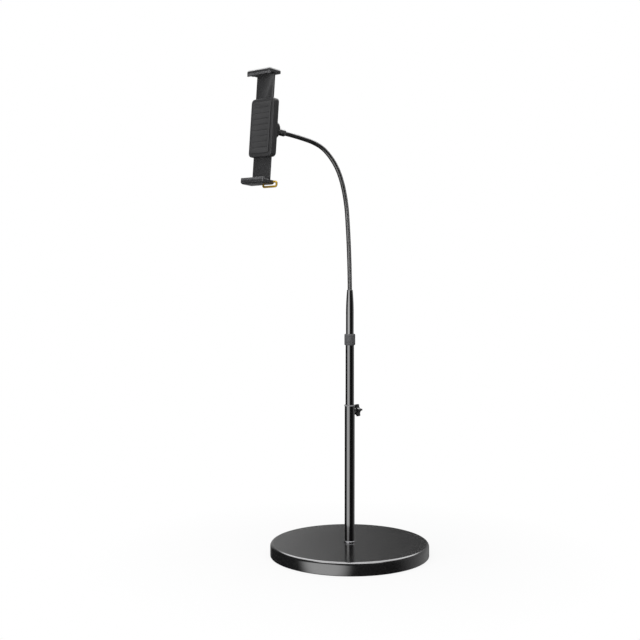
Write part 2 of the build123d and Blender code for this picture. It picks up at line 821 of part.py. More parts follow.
def all_pieces():
    """Every piece of the stand in the model's frame, by name."""
    pieces = {
        "base_cover": base_cover(),
        "base_weight": base_weight(),
        "bottom_plate": bottom_plate(),
        "plate_screws": plate_screws(),
        "foot_mat": foot_mat(),
        "centre_bolt": centre_bolt(),
        "bolt_washer": bolt_washer(),
        "pole_socket": pole_socket(),
        "foot_trim": foot_trim(),
        "lower_tube": lower_tube(),
        "guide_bush": guide_bush(),
        "knob_boss": knob_boss(),
        "knob_grip": knob_grip(),
        "clamp_screw": clamp_screw(),
        "clamp_tip": clamp_tip(),
        "upper_tube": upper_tube(),
        "tube_glide": tube_glide(),
        "tube_plug": tube_plug(),
        "swivel_nut": swivel_nut(),
        "neck_sleeve": neck_sleeve(),
    }
    pieces.update(neck_links())
    for name, piece in holder_pieces().items():
        pieces[name] = holder_place * piece
    return pieces


os.makedirs("parts", exist_ok=True)
for name, piece in all_pieces().items():
    export_step(piece, f"parts/{name}.step")
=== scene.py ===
import json
from math import atan2, cos, pi, radians, sin, sqrt
import bmesh
import bpy
from mathutils import Matrix, Vector


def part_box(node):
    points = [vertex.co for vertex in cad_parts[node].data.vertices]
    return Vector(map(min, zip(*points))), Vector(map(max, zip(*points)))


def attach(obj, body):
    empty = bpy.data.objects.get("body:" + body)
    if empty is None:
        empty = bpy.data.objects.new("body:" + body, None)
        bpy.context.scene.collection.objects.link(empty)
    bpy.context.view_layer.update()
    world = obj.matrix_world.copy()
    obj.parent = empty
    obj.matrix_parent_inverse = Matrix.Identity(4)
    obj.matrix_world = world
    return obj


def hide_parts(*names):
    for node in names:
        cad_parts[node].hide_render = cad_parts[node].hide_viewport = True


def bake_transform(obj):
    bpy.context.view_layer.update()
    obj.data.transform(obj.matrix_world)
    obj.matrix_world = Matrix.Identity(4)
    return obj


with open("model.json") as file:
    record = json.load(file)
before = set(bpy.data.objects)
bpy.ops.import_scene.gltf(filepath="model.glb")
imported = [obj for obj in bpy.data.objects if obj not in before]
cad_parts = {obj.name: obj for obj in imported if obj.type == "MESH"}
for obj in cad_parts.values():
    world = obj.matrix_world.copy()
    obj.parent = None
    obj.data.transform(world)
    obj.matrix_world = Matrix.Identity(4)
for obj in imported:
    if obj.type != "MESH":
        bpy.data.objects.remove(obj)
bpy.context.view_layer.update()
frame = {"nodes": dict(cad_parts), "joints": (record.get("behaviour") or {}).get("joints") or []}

# An adjustable floor stand: weighted base, telescopic pole, flexible neck and a two-jaw holder.
# Metres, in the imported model's frame: the base's centre is the origin, the holder faces -Y.
joints = {joint["name"]: joint for joint in frame["joints"]}


# Base cover
# One pressing of mild steel with a rounded top edge and a lip rolled in at the bottom,
# powder coated satin black. The centre bolt pulls it down on the cast weight.
cover_wall = 0.0015
cover_edge = 0.006
cover_lip = 0.0011
cover_low, cover_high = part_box("base_cover")
cover_radius = cover_high.x
cover_hole = 0.0043
cover_mid_share = 0.5  # of the radius, a ring of corners in the flat top
grain_detail = 2.0
wear_gain = 9.0
dust_colour = (0.32, 0.31, 0.29, 1)
dust_roughness = 0.5


def group_tree(name, family, inputs, outputs):
    """An empty node group; inputs are (name, kind) or (name, kind, value), outputs (name, kind)."""
    tree = bpy.data.node_groups.new(name, family)
    for label, kind, *value in inputs:
        socket = tree.interface.new_socket(label, in_out="INPUT", socket_type="NodeSocket" + kind)
        if value:
            socket.default_value = value[0]
    for label, kind in outputs:
        tree.interface.new_socket(label, in_out="OUTPUT", socket_type="NodeSocket" + kind)
    return tree, tree.nodes.new("NodeGroupInput").outputs, tree.nodes.new("NodeGroupOutput").inputs


def fill(tree, slot, value):
    """Links a socket into a slot, or sets the slot to a plain value."""
    if isinstance(value, bpy.types.NodeSocket):
        tree.links.new(value, slot)
    else:
        slot.default_value = value


def add_node(tree, kind, inputs=None, **settings):
    """A node with its settings, and its inputs filled by name or by place."""
    node = tree.nodes.new(kind)
    for name, value in settings.items():
        setattr(node, name, value)
    for label, value in (inputs or {}).items():
        fill(tree, node.inputs[label], value)
    return node


def number_node(tree, operation, *operands):
    """The result of a Math node; each operand is a socket or a number."""
    inputs = dict(enumerate(operands))
    return add_node(tree, "ShaderNodeMath", inputs, operation=operation).outputs[0]


def vector_node(tree, operation, *operands):
    """A Vector Math node; each operand is a socket or a vector."""
    inputs = dict(enumerate(operands))
    return add_node(tree, "ShaderNodeVectorMath", inputs, operation=operation)


def mixed_colour(tree, share, first, second):
    """The result of a colour Mix node between two sockets or colours."""
    inputs = {0: share, 6: first, 7: second}
    return add_node(tree, "ShaderNodeMix", inputs, data_type="RGBA").outputs[2]


def noise_of(tree, size, detail=3.0, stretch=None):
    """Noise on Object coordinates whose cells are about size metres across, scaled by stretch."""
    place = tree.nodes.new("ShaderNodeTexCoord").outputs["Object"]
    if stretch is not None:
        place = vector_node(tree, "MULTIPLY", place, stretch).outputs["Vector"]
    scale = number_node(tree, "DIVIDE", 1.0, size)
    inputs = {"Vector": place, "Scale": scale, "Detail": detail}
    return add_node(tree, "ShaderNodeTexNoise", inputs).outputs["Fac"]


def made_surface_group():
    """Two-tone colour with fine grain, worn edges and settled dust, for every finish here."""
    tree, given, result = group_tree(
        "Made Surface",
        "ShaderNodeTree",
        [
            ("Dark", "Color"),
            ("Light", "Color"),
            *((label, "Float") for label in ("Tone Size", "Smooth", "Rough", "Grain Size", "Grain Depth")),
            ("Grain Stretch", "Vector", (1, 1, 1)),
            ("Worn", "Color", (0.2, 0.2, 0.2, 1)),
            ("Wear", "Float"),
            ("Wear Width", "Float", 0.0006),
            ("Dust", "Float"),
        ],
        [("Colour", "Color"), ("Roughness", "Float"), ("Normal", "Vector")],
    )
    tone = noise_of(tree, given["Tone Size"])
    grain = noise_of(tree, given["Grain Size"], grain_detail, given["Grain Stretch"])
    bump = add_node(tree, "ShaderNodeBump", {"Height": grain, "Distance": given["Grain Depth"]})
    normal = tree.nodes.new("ShaderNodeNewGeometry").outputs["Normal"]
    rounded = add_node(tree, "ShaderNodeBevel", {"Radius": given["Wear Width"]}, samples=4)
    level = vector_node(tree, "DOT_PRODUCT", rounded.outputs["Normal"], normal).outputs["Value"]
    edge = number_node(tree, "MULTIPLY", number_node(tree, "SUBTRACT", 1.0, level), wear_gain)
    edge = number_node(tree, "MULTIPLY", edge, number_node(tree, "ADD", tone, grain))
    edge = number_node(tree, "MULTIPLY", edge, given["Wear"])
    edge = number_node(tree, "MINIMUM", edge, 1.0)
    part = add_node(tree, "ShaderNodeSeparateXYZ", {"Vector": normal})
    up = number_node(tree, "MAXIMUM", part.outputs["Z"], 0.0)
    dust = number_node(tree, "MULTIPLY", number_node(tree, "MULTIPLY", up, tone), given["Dust"])
    colour = mixed_colour(tree, tone, given["Dark"], given["Light"])
    colour = mixed_colour(tree, edge, colour, given["Worn"])
    colour = mixed_colour(tree, dust, colour, dust_colour)
    spread = number_node(tree, "SUBTRACT", given["Rough"], given["Smooth"])
    rough = number_node(tree, "MULTIPLY_ADD", tone, spread, given["Smooth"])
    rough = number_node(tree, "ADD", rough, number_node(tree, "MULTIPLY", dust, dust_roughness))
    tree.links.new(colour, result["Colour"])
    tree.links.new(rough, result["Roughness"])
    tree.links.new(bump.outputs["Normal"], result["Normal"])
    return tree


made_surface = made_surface_group()


def grey(value):
    """A neutral colour."""
    return (value, value, value * 1.03, 1)


def finish(name, tones, roughness, grain, more=None, sockets=None):
    """A material of the made surface. Tones are the dark and the light colour and their patches' size,
    roughness its two ends, and grain its size and depth; more are other values of the group, and
    sockets are plain values on the shader."""
    material = bpy.data.materials.new(name)
    material.use_nodes = True
    tree = material.node_tree
    labels = ("Dark", "Light", "Tone Size", "Smooth", "Rough", "Grain Size", "Grain Depth")
    surface = dict(zip(labels, tones + roughness + grain)) | (more or {})
    group = add_node(tree, "ShaderNodeGroup", surface, node_tree=made_surface)
    values = {"Base Color": group.outputs["Colour"], "Roughness": group.outputs["Roughness"]}
    values["Normal"] = group.outputs["Normal"]
    for label, value in (values | (sockets or {})).items():
        fill(tree, tree.nodes["Principled BSDF"].inputs[label], value)
    return material


def added(name, data):
    """A new object of the scene that holds the data."""
    thing = bpy.data.objects.new(name, data)
    bpy.context.scene.collection.objects.link(thing)
    return thing


def shown(name, verts, faces, sharp=38):
    """A mesh object of the scene, smooth but for edges sharper than the given degrees."""
    mesh = bpy.data.meshes.new(name)
    mesh.from_pydata([tuple(v) for v in verts], [], faces)
    mesh.validate()
    tidy = bmesh.new()
    tidy.from_mesh(mesh)
    bmesh.ops.recalc_face_normals(tidy, faces=tidy.faces)
    tidy.to_mesh(mesh)
    tidy.free()
    mesh.shade_smooth()
    mesh.set_sharp_from_angle(angle=radians(sharp))
    return added(name, mesh)


def turned(name, profile, sides=96, sharp=38):
    """A turned piece about Z from a closed profile of (radius, height) pairs."""
    verts = []
    rings = []
    for radius, height in profile:
        if radius == 0:
            rings.append([len(verts)] * sides)
            verts.append((0, 0, height))
            continue
        rings.append(list(range(len(verts), len(verts) + sides)))
        for i in range(sides):
            turn = 2 * pi * i / sides
            verts.append((radius * cos(turn), radius * sin(turn), height))
    faces = []
    for first, second in zip(rings, rings[1:] + rings[:1]):
        for i in range(sides):
            j = (i + 1) % sides
            corners = list(dict.fromkeys((first[i], first[j], second[j], second[i])))
            if len(corners) > 2:
                faces.append(corners)
    return shown(name, verts, faces, sharp)


def arc(centre_radius, centre_height, radius, start, end, steps=8):
    """Profile points along an arc, with angles in degrees from the outward direction."""
    points = []
    for i in range(steps + 1):
        turn = radians(start + (end - start) * i / steps)
        across, rise = radius * cos(turn), radius * sin(turn)
        points.append((centre_radius + across, centre_height + rise))
    return points


def placed(piece, matrix):
    """Moves a piece's mesh, so that its object stays at the origin."""
    piece.data.transform(matrix)
    return piece


def dress(piece, material, body, slot, *nodes):
    """Gives a piece its material, its body and the nodes that it stands for. The slot is not used."""
    piece.data.materials.clear()
    piece.data.materials.append(material)
    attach(piece, body)
    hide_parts(*nodes)


def dress_node(node, material):
    """Gives a carried-over node its material."""
    mesh = frame["nodes"][node].data
    mesh.materials.clear()
    mesh.materials.append(material)


base_paint = finish(
    "satin powder paint",
    tones=(grey(0.007), grey(0.011), 0.06),
    roughness=(0.18, 0.21),
    grain=(0.0009, 0.000003),
    more={"Worn": grey(0.05), "Wear": 0.2, "Dust": 0.01},
    sockets={"IOR": 1.65, "Coat Weight": 1.0, "Coat IOR": 1.55, "Coat Roughness": 0.12},
)


def cover_profile():
    """The pressing's outer face, lip and inner face."""
    top = cover_high.z
    low = cover_low.z
    edge = arc(cover_radius - cover_edge, top - cover_edge, cover_edge, 90, 0, 16)
    lip = arc(cover_radius - cover_lip, low + cover_lip, cover_lip, 0, -180, 8)
    inner_edge = arc(cover_radius - cover_edge, top - cover_edge, cover_edge - cover_wall, 0, 90, 10)
    profile = [(cover_hole, top), (cover_radius * cover_mid_share, top)] + edge + lip + inner_edge
    return profile + [(cover_hole, top - cover_wall)]


cover = turned("base_cover_pressing", cover_profile(), sides=224, sharp=50)
dress(cover, base_paint, "base", "base_paint", "base_cover")


# Weight, bottom plate, screws, bolt and washer
# A sand-cast iron disc gives the stand its mass. A zinc plated bolt runs up through it into the
# pole's foot, and a painted sheet plate closes the base with six screws.
cast_iron = finish(
    "sand cast iron",
    tones=(grey(0.06), grey(0.13), 0.012),
    roughness=(0.65, 0.85),
    grain=(0.0016, 0.0003),
    more={"Worn": (0.2, 0.13, 0.09, 1), "Wear": 0.6},
    sockets={"Metallic": 0.6},
)
zinc = finish(
    "zinc plated steel",
    tones=((0.42, 0.43, 0.46, 1), (0.62, 0.62, 0.6, 1), 0.004),
    roughness=(0.24, 0.42),
    grain=(0.0003, 0.000008),
    more={"Worn": grey(0.75), "Wear": 0.4},
    sockets={"Metallic": 1.0},
)
dress_node("base_weight", cast_iron)
dress_node("bottom_plate", base_paint)
for node in ("plate_screws", "centre_bolt", "bolt_washer", "pole_socket"):
    dress_node(node, zinc)


# Foot mat
# A die-cut rubber disc glued under the bottom plate, moulded with rings of grip ribs.
mat_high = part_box("foot_mat")[1]
mat_groove_depth = 0.0007
mat_groove_width = 0.0016
mat_rings = 11
mat_inner_share = 0.3  # of the radius, where the first groove lies
mat_rim_round = 0.0008
mat_groove_steps = ((0.5, 0), (0.35, 1), (-0.35, 1), (-0.5, 0))  # shares of width and depth
mat_rubber = finish(
    "matt mat rubber",
    tones=(grey(0.018), grey(0.032), 0.015),
    roughness=(0.7, 0.85),
    grain=(0.0005, 0.00004),
    more={"Dust": 0.1},
)


def mat_profile():
    """The mat's top, its rounded rim and its grooved underside."""
    radius = mat_high.x
    profile = [(0, mat_high.z), (radius, mat_high.z)]
    profile += arc(radius - mat_rim_round, mat_rim_round, mat_rim_round, 0, -90, 4)
    for i in reversed(range(mat_rings)):
        middle = radius * (mat_inner_share + (1 - mat_inner_share) * i / mat_rings)
        for side, depth in mat_groove_steps:
            profile.append((middle + mat_groove_width * side, mat_groove_depth * depth))
    return profile + [(0, 0)]


mat = turned("ribbed_foot_mat", mat_profile(), sides=160)
dress(mat, mat_rubber, "base", "mat_rubber", "foot_mat")


# Lower tube with its foot ring
# Welded steel tube, 19 mm across, gloss black. A polished ring covers the joint with the cover.
tube_paint = finish(
    "gloss black paint",
    tones=(grey(0.002), grey(0.0035), 0.05),
    roughness=(0.1, 0.13),
    grain=(0.0007, 0.0000003),
    more={"Grain Stretch": (1, 1, 0.01), "Worn": grey(0.1), "Wear": 0.15},
    sockets={"IOR": 1.8, "Coat Weight": 1.0, "Coat IOR": 1.6, "Coat Roughness": 0.08},
)
tube_edge = 0.0004
tube_wall = 0.0012


def ring_profile(bore, radius, low, high, inner, outer):
    """A ring whose inner and outer edges are broken by the given widths at both ends."""
    profile = [(bore, low + inner), (bore + inner, low), (radius - outer, low), (radius, low + outer)]
    profile += [(radius, high - outer), (radius - outer, high)]
    return profile + [(bore + inner, high), (bore, high - inner)]


def tube_profile(wall, low, high):
    """A tube between two corners of its box."""
    return ring_profile(high.x - wall, high.x, low.z, high.z, tube_edge, tube_edge)


lower_low, lower_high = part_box("lower_tube")
lower_tube = turned("lower_pole_tube", tube_profile(tube_wall, lower_low, lower_high))
dress(lower_tube, tube_paint, "base", "tube_paint", "lower_tube")

trim_low, trim_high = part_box("foot_trim")
trim_round = 0.0021
trim_profile = [(lower_high.x, trim_low.z), (trim_high.x, trim_low.z)]
trim_profile += arc(trim_high.x - trim_round, trim_high.z - trim_round, trim_round, 0, 90, 10)
trim_profile += [(lower_high.x, trim_high.z)]
trim_paint = finish(
    "polished black nickel",
    tones=(grey(0.2), grey(0.26), 0.01),
    roughness=(0.12, 0.2),
    grain=(0.0006, 0.000003),
    sockets={"Metallic": 1.0},
)
trim = turned("foot_ring", trim_profile)
dress(trim, trim_paint, "base", "tube_paint", "foot_trim")


# Guide bush
# A turned nylon bush in the mouth of the lower tube; only its rounded lip shows.
# Painted highlight: the black nylon is coloured mid grey, so that the bush's lip looks lit.
bush_nylon_painted_lit = finish(
    "smooth black nylon",
    tones=(grey(0.16), grey(0.22), 0.008),
    roughness=(0.24, 0.32),
    grain=(0.0004, 0.000008),
    more={"Worn": grey(0.2), "Wear": 0.3},
    sockets={"IOR": 1.7},
)
bush_low, bush_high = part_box("guide_bush")
bush_lip_height = 0.002
bush_lip_round = 0.0008
bush_edge_width = 0.0003
bush_edge_depth = 0.0004
bush_clearance = 0.00005
upper_low, upper_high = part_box("upper_tube")
bush_bore = upper_high.x + bush_clearance
bush_skin = lower_high.x - tube_wall
bush_step = bush_high.z - bush_lip_height
bush_profile = [(bush_bore, bush_low.z), (bush_skin, bush_low.z)]
bush_profile += [(bush_skin, bush_step), (bush_high.x, bush_step)]
bush_profile += arc(bush_high.x - bush_lip_round, bush_high.z - bush_lip_round, bush_lip_round, 0, 90, 6)
bush_profile += [(bush_bore + bush_edge_width, bush_high.z), (bush_bore, bush_high.z - bush_edge_depth)]
bush = turned("mouth_bush", bush_profile)
dress(bush, bush_nylon_painted_lit, "base", "bush_plastic", "guide_bush")


# Knob boss
# A short threaded boss with a weld bead round it where it meets the tube, painted with it.
boss_low, boss_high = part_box("knob_boss")
knob_height = (boss_low.z + boss_high.z) / 2
boss_radius = (boss_high.z - boss_low.z) / 2
boss_chamfer = 0.0008
boss_bore = 0.00305
boss_root_share = 0.86  # of the tube's radius, where the boss starts inside its wall
laid_back = Matrix.Rotation(radians(-90), 4, "X")
to_back = Matrix.Translation((0, 0, knob_height)) @ laid_back
boss_near = lower_high.x * boss_root_share
boss_profile = [(boss_bore, boss_near), (boss_radius, boss_near)]
boss_profile += [(boss_radius, boss_high.y - boss_chamfer), (boss_radius - boss_chamfer, boss_high.y)]
boss_profile.append((boss_bore + boss_chamfer / 2, boss_high.y))
boss_profile.append((boss_bore, boss_high.y - boss_chamfer / 2))
boss = placed(turned("threaded_boss", boss_profile, sides=48), to_back)
dress(boss, tube_paint, "base", "tube_paint", "knob_boss")
bead_radius = 0.0007
bead_ripples = 22
bead_ripple_share = 0.2
bead_sunk_share = 0.6
bead_steps = 132
bead_sides = 8


def weld_bead():
    """A rippled bead that follows the boss where it meets the round tube."""
    around = boss_radius - bead_radius * bead_sunk_share
    verts = []
    faces = []
    for i in range(bead_steps):
        turn = 2 * pi * i / bead_steps
        x, z = around * cos(turn), around * sin(turn)
        middle = Vector((x, sqrt(lower_high.x**2 - x**2), knob_height + z))
        outward = Vector((x, 0, z)).normalized()
        swell = bead_radius * (1 + bead_ripple_share * sin(bead_ripples * turn))
        for k in range(bead_sides):
            round_turn = 2 * pi * k / bead_sides
            offset = outward * cos(round_turn) + Vector((0, sin(round_turn), 0))
            verts.append(middle + offset * swell)
            here, beyond = i * bead_sides, (i + 1) % bead_steps * bead_sides
            m = (k + 1) % bead_sides
            faces.append((here + k, here + m, beyond + m, beyond + k))
    return shown("boss_weld_bead", verts, faces, sharp=80)


dress(weld_bead(), tube_paint, "base", "tube_paint", "knob_boss")


# Star knob
# Moulded black plastic with five lobes and scooped sides, pressed on a steel screw.
knob_low, knob_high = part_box("knob_grip")
knob_lobes = 5
knob_turn = 134  # degrees
knob_radius = 0.01175
knob_scoop_radius = 0.006
knob_scoop_circle = 0.0132
knob_thickness = 0.009
knob_round = 0.0012
knob_foot_round = 0.0005
knob_cap_radius = 0.005
knob_cap_sunk = 0.001
knob_cap_round = 0.0005
knob_dish_depth = 0.0003
knob_dish_shares = (0.75, 0.7)  # of the cap's radius, at the dish's rim and floor
knob_plastic = finish(
    "glossy knob plastic",
    tones=(grey(0.008), grey(0.012), 0.006),
    roughness=(0.12, 0.18),
    grain=(0.0005, 0.000002),
    more={"Worn": grey(0.08), "Wear": 0.3},
    sockets={"IOR": 1.7},
)


def softened(loop):
    """A closed outline with its corners cut."""
    cut = []
    for first, second in zip(loop, loop[1:] + loop[:1]):
        cut.append(tuple(a * 0.75 + b * 0.25 for a, b in zip(first, second)))
        cut.append(tuple(a * 0.25 + b * 0.75 for a, b in zip(first, second)))
    return cut


def stacked(name, loop, levels, sharp=38):
    """A closed solid of one outline, seen from above anticlockwise, at (height, inset) levels."""
    count = len(loop)
    outward = []
    for i in range(count):
        before, after = loop[i - 1], loop[(i + 1) % count]
        along = Vector((after[0] - before[0], after[1] - before[1])).normalized()
        outward.append((along.y, -along.x))
    verts = []
    for height, inset in levels:
        for (x, y), (nx, ny) in zip(loop, outward):
            verts.append((x - nx * inset, y - ny * inset, height))
    faces = [list(reversed(range(count))), [count * (len(levels) - 1) + i for i in range(count)]]
    for level in range(len(levels) - 1):
        for i in range(count):
            j = (i + 1) % count
            low = count * level
            faces.append((low + i, low + j, low + count + j, low + count + i))
    return shown(name, verts, faces, sharp)


def rounded_levels(low, high, low_round, high_round, steps=5):
    """Levels of a solid whose lower and upper edges are rounded."""
    lower = []
    upper = []
    for i in range(steps + 1):
        turn = pi / 2 * i / steps
        rise, inset = 1 - cos(turn), 1 - sin(turn)
        lower.append((low + low_round * rise, low_round * inset))
        upper.append((high - high_round * rise, high_round * inset))
    return lower + list(reversed(upper))


def star_outline(steps=20):
    """Lobes on a circle, with a round scoop between each two."""
    loop = []
    total = knob_lobes * steps
    for i in range(total):
        turn = 2 * pi * i / total
        off = (turn + pi / knob_lobes) % (2 * pi / knob_lobes)
        off = min(off, 2 * pi / knob_lobes - off)
        radius = knob_radius
        reach = knob_scoop_circle * sin(off)
        if abs(reach) < knob_scoop_radius:
            scoop = knob_scoop_circle * cos(off) - sqrt(knob_scoop_radius**2 - reach**2)
            radius = min(radius, scoop)
        loop.append((radius * cos(turn), radius * sin(turn)))
    return softened(loop)


knob_matrix = Matrix.Translation((0, knob_low.y, 0)) @ to_back @ Matrix.Rotation(radians(knob_turn), 4, "Z")
star_levels = rounded_levels(0, knob_thickness, knob_foot_round, knob_round)
star = placed(stacked("star_knob", star_outline(), star_levels), knob_matrix)
dress(star, knob_plastic, "height_knob", "knob_plastic", "knob_grip")
cap_high = knob_high.y - knob_low.y
cap_low = knob_thickness - knob_cap_sunk
cap_edge = cap_high - knob_cap_round
dish_rim, dish_floor = (knob_cap_radius * share for share in knob_dish_shares)
cap_profile = [(0, cap_low), (knob_cap_radius, cap_low), (knob_cap_radius, cap_edge)]
cap_profile += arc(knob_cap_radius - knob_cap_round, cap_edge, knob_cap_round, 0, 90, 4)
cap_profile += [(dish_rim, cap_high), (dish_floor, cap_high - knob_dish_depth)]
cap_profile.append((0, cap_high - knob_dish_depth))
cap = placed(turned("knob_cap", cap_profile, sides=48), knob_matrix)
dress(cap, knob_plastic, "height_knob", "knob_plastic", "knob_grip")
dress_node("clamp_screw", zinc)
white_nylon = finish(
    "natural nylon",
    tones=((0.5, 0.49, 0.45, 1), (0.62, 0.61, 0.57, 1), 0.004),
    roughness=(0.4, 0.5),
    grain=(0.0003, 0.00001),
    sockets={"Subsurface Weight": 0.1, "Subsurface Scale": 0.002},
)
dress_node("clamp_tip", white_nylon)


# Upper tube, glide and plug
# A 16 mm tube slides in the bush; a nylon glide at its foot runs in the lower tube, and a
# threaded plug closes its top. Fine draw lines run along it where it slides.
upper_wall = 0.001
upper_tube = turned("upper_pole_tube", tube_profile(upper_wall, upper_low, upper_high))
dress(upper_tube, tube_paint, "upper_pole", "tube_paint", "upper_tube")
# The glide shares the bush's nylon, with its painted highlight colour.
dress_node("tube_glide", bush_nylon_painted_lit)
dress_node("tube_plug", zinc)


# Swivel nut
# Matt moulded collar with fine vertical ribs all round for the fingers. It clamps the neck.
nut_low, nut_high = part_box("swivel_nut")
nut_ribs = 40
nut_rib_height = 0.0005
nut_chamfer = 0.0006
nut_bore = 0.00735
rib_sunk = 0.0003
rib_run_out = 0.0006
rib_steps = ((-0.42, 0), (-0.3, 0.75), (0, 1), (0.3, 0.75), (0.42, 0))  # shares of width and height
nut_plastic = finish(
    "matt collar plastic",
    tones=(grey(0.075), grey(0.095), 0.004),
    roughness=(0.5, 0.6),
    grain=(0.0004, 0.000008),
    more={"Worn": grey(0.12), "Wear": 0.3, "Wear Width": 0.0003},
)


def ended_tree(tree, geometry, given, result):
    """Ends a geometry group: what it built is made real and given its material."""
    real = add_node(tree, "GeometryNodeRealizeInstances", {0: geometry})
    inputs = {"Geometry": real.outputs[0], "Material": given["Material"]}
    painted = add_node(tree, "GeometryNodeSetMaterial", inputs)
    tree.links.new(painted.outputs[0], result[0])
    return tree


def ring_of_copies_tree():
    """Copies of the piece turned evenly about Z."""
    tree, given, result = group_tree(
        "Ring Of Copies",
        "GeometryNodeTree",
        [("Geometry", "Geometry"), ("Count", "Int"), ("Material", "Material")],
        [("Geometry", "Geometry")],
    )
    points = add_node(tree, "GeometryNodePoints", {"Count": given["Count"]})
    index = tree.nodes.new("GeometryNodeInputIndex")
    share = number_node(tree, "DIVIDE", index.outputs[0], given["Count"])
    turn = number_node(tree, "MULTIPLY", share, 2 * pi)
    turn = add_node(tree, "ShaderNodeCombineXYZ", {"Z": turn})
    inputs = {"Points": points.outputs[0], "Instance": given["Geometry"], "Rotation": turn.outputs[0]}
    copies = add_node(tree, "GeometryNodeInstanceOnPoints", inputs)
    return ended_tree(tree, copies.outputs[0], given, result)


ring_of_copies = ring_of_copies_tree()


def evaluated_mesh(piece):
    """The piece's mesh as its modifiers leave it, as a plain mesh."""
    bpy.context.view_layer.update()
    graph = bpy.context.evaluated_depsgraph_get()
    return bpy.data.meshes.new_from_object(piece.evaluated_get(graph))


def grown(piece, tree, **values):
    """Runs a geometry tree on a piece and keeps the result as its plain mesh."""
    modifier = piece.modifiers.new(tree.name, "NODES")
    modifier.node_group = tree
    for item in tree.interface.items_tree:
        key = item.name.lower()
        if item.in_out == "INPUT" and key in values:
            modifier[item.identifier] = values[key]
    mesh = evaluated_mesh(piece)
    piece.modifiers.remove(modifier)
    mesh.name = piece.name
    piece.data = mesh


nut_core = nut_high.x - nut_rib_height
nut_profile = ring_profile(nut_bore, nut_core, nut_low.z, nut_high.z, nut_chamfer / 2, nut_chamfer)
nut = turned("swivel_collar", nut_profile)
dress(nut, nut_plastic, "swivel_collar", "nut_plastic", "swivel_nut")

rib_width = 2 * pi * nut_core / nut_ribs
rib_foot = nut_core - rib_sunk
rib_low, rib_top = nut_low.z + nut_chamfer, nut_high.z - nut_chamfer
rib_levels = ((rib_low, 0), (rib_low + rib_run_out, 1), (rib_top - rib_run_out, 1), (rib_top, 0))
rib_corners = []
for height, proud in rib_levels:
    crest = nut_core + nut_rib_height * proud
    for side, reach in rib_steps:
        rib_corners.append((rib_foot + (crest - rib_foot) * reach, rib_width * side, height))
rib_faces = [(0, 1, 2, 3, 4), (19, 18, 17, 16, 15)]
for level in range(3):
    for side in range(5):
        a, b = level * 5 + side, level * 5 + (side + 1) % 5
        rib_faces.append((a, b, b + 5, a + 5))
rib = shown("collar_ribs", rib_corners, rib_faces)
grown(rib, ring_of_copies, count=nut_ribs, material=nut_plastic)
dress(rib, nut_plastic, "swivel_collar", "nut_plastic", "swivel_nut")


# Neck sleeve
# Gloss black moulding, straight for half its length and then drawn in to grip the hose.
sleeve_low, sleeve_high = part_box("neck_sleeve")
sleeve_radius = 0.0073
sleeve_tip_radius = 0.0054
sleeve_bore = 0.0044
sleeve_showing = sleeve_high.z - nut_high.z
sleeve_taper_share = 0.48  # of the showing length, where the taper starts
sleeve_taper_power = 1.9
sleeve_taper_steps = 24
sleeve_tip_round = 0.0006
sleeve_flange = 0.0026
sleeve_plastic = finish(
    "gloss sleeve plastic",
    tones=(grey(0.002), grey(0.0035), 0.03),
    roughness=(0.1, 0.13),
    grain=(0.0012, 0.0000004),
    more={"Worn": grey(0.06), "Wear": 0.1},
    sockets={"IOR": 2.0, "Coat Weight": 1.0, "Coat IOR": 1.7, "Coat Roughness": 0.1},
)


def sleeve_profile():
    """Flange, straight barrel, curved taper and rounded tip, with the hose's bore."""
    taper_low = nut_high.z + sleeve_showing * sleeve_taper_share
    tip = sleeve_tip_round
    flange_top = sleeve_low.z + sleeve_flange
    profile = [(sleeve_bore, sleeve_low.z), (sleeve_high.x, sleeve_low.z)]
    profile += [(sleeve_high.x, flange_top), (sleeve_radius, flange_top)]
    for i in range(sleeve_taper_steps + 1):
        share = i / sleeve_taper_steps
        height = taper_low + (sleeve_high.z - tip - taper_low) * share
        drop = (sleeve_radius - sleeve_tip_radius) * share**sleeve_taper_power
        profile.append((sleeve_radius - drop, height))
    profile += arc(sleeve_tip_radius - tip, sleeve_high.z - tip, tip, 0, 90, 4)
    return profile + [(sleeve_bore, sleeve_high.z)]


sleeve = turned("tapered_sleeve", sleeve_profile(), sharp=50)
dress(sleeve, sleeve_plastic, "neck_link_1", "sleeve_plastic", "neck_sleeve")


# Gooseneck
# Round steel wire wound tight in a helix over a core, coated black, so that it bends and stays.
# It is one hose, made in stretches; each stretch between the two end ones spans one bend of the neck, and
# only the end stretches are carried by the links.
hose_radius = 0.00425
hose_groove = 0.0006
hose_pitch = 0.0016
hose_sides = 24
hose_steps = 7
hose_crest_power = 0.6
hose_seam = 0.00001
hose_end_reach = 0.0225
hose_seat = 0.019
bends = [joints[f"neck_bend_{i}"] for i in range(1, 8)]
ball = Vector(joints["holder_spin"]["pos_m"])
holder_front = Vector(joints["holder_spin"]["axis"]).normalized()
hose_points = [Vector((0, 0, sleeve_high.z - hose_seat))]
hose_points += [Vector(joint["pos_m"]) for joint in bends]
hose_points += [ball - holder_front * hose_end_reach]


def hose_path():
    """A curve of arcs that touch end to end through the bends, as a Bezier spline."""
    data = bpy.data.curves.new("neck_line", "CURVE")
    data.dimensions = "3D"
    data.resolution_u = 64
    points = data.splines.new("BEZIER").bezier_points
    points.add(len(hose_points) - 1)
    lean = 0.0
    lengths = [0.0]
    for i, (first, second) in enumerate(zip(hose_points, hose_points[1:])):
        chord = second - first
        turn = 2 * (atan2(-chord.y, chord.z) - lean)
        length = chord.length if abs(turn) < 1e-6 else chord.length * (turn / 2) / sin(turn / 2)
        handle = length / 3
        points[i].handle_right = first + Vector((0, -sin(lean), cos(lean))) * handle
        lean = lean + turn
        points[i + 1].handle_left = second - Vector((0, -sin(lean), cos(lean))) * handle
        lengths.append(lengths[-1] + length)
    for point, place in zip(points, hose_points):
        point.co = place
    points[0].handle_left = hose_points[0]
    points[-1].handle_right = hose_points[-1]
    return added("neck_line", data), lengths


